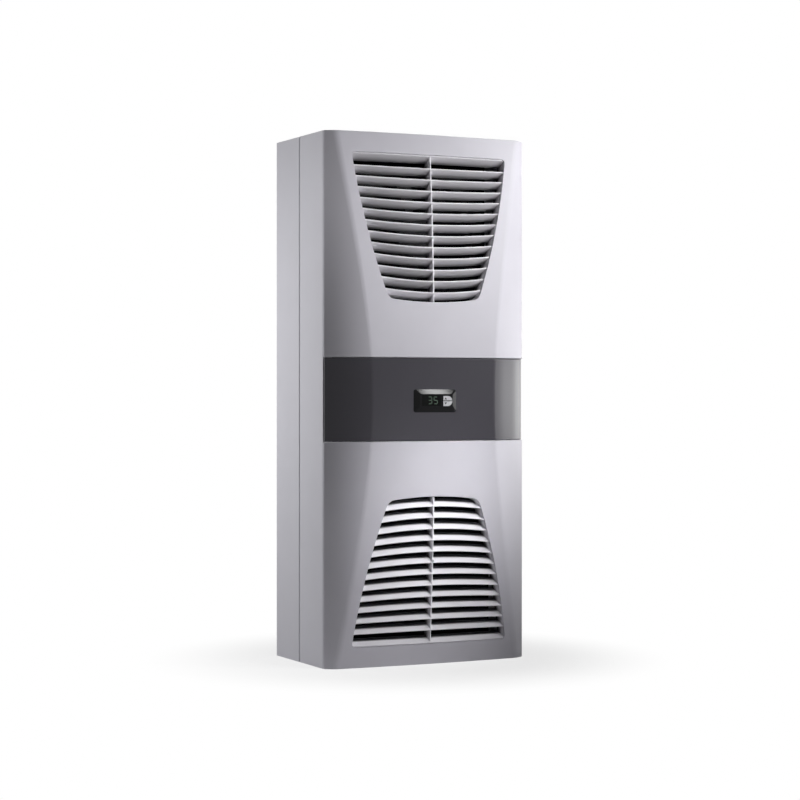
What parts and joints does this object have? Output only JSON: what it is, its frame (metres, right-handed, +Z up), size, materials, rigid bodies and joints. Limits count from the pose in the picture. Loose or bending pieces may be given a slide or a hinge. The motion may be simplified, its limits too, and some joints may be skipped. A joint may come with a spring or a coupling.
{
  "type": "enclosure cooling unit",
  "caption": "Wall-mounted cooling unit for an electrical enclosure: shallow chassis, hood with bowed front, tapered louvred grilles, dark band with a small controller.",
  "frame": {"origin": "centre of the unit's box at its base", "axes": "+X to the right seen from the front, +Y to the rear, +Z up"},
  "size_m": [0.4, 0.26, 0.95],
  "materials": {
    "light_grey_powder_coat": "fine textured powder coat",
    "light_grey_moulding": "satin moulded",
    "light_grey_grille": "satin moulded",
    "dark_grey_moulding": "satin moulded",
    "black_plastic": "satin",
    "display_glass": "clear and dark",
    "silver_keys": "satin",
    "black_coated_steel": "black coated sheet",
    "zinc_plated_steel": "zinc plated",
    "terminal_plastic": "moulded",
    "fan_casting": "black coated casting",
    "fan_black": "moulded",
    "aluminium_fins": "plain fins",
    "black_coated_fins": "black coated fins",
    "black_foam": "closed-cell foam"
  },
  "bodies": {
    "root": {"bulkhead": "black_coated_steel", "centre_panel": "dark_grey_moulding", "chassis_back_panel": "light_grey_powder_coat", "chassis_base": "light_grey_powder_coat", "chassis_left_wall": "light_grey_powder_coat", "chassis_right_wall": "light_grey_powder_coat", "chassis_top": "light_grey_powder_coat", "condensate_drain": "black_plastic", "condenser_coil": "black_coated_fins", "condenser_fan_frame": "fan_casting", "condenser_fan_rotor": "fan_black", "connection_socket": "terminal_plastic", "controller_bezel": "black_plastic", "display_window": "display_glass", "down_key": "silver_keys", "evaporator_coil": "aluminium_fins", "evaporator_fan_frame": "fan_casting", "evaporator_fan_guard": "zinc_plated_steel", "evaporator_fan_rotor": "fan_black", "hood_bottom": "light_grey_powder_coat", "hood_left_side": "light_grey_powder_coat", "hood_right_side": "light_grey_powder_coat", "hood_top": "light_grey_powder_coat", "lower_front_cover": "light_grey_moulding", "lower_grille": "light_grey_grille", "mounting_nuts": "zinc_plated_steel", "seam_seal": "black_foam", "set_key": "silver_keys", "up_key": "silver_keys", "upper_front_cover": "light_grey_moulding", "upper_grille": "light_grey_grille"}
  },
  "joints": []
}
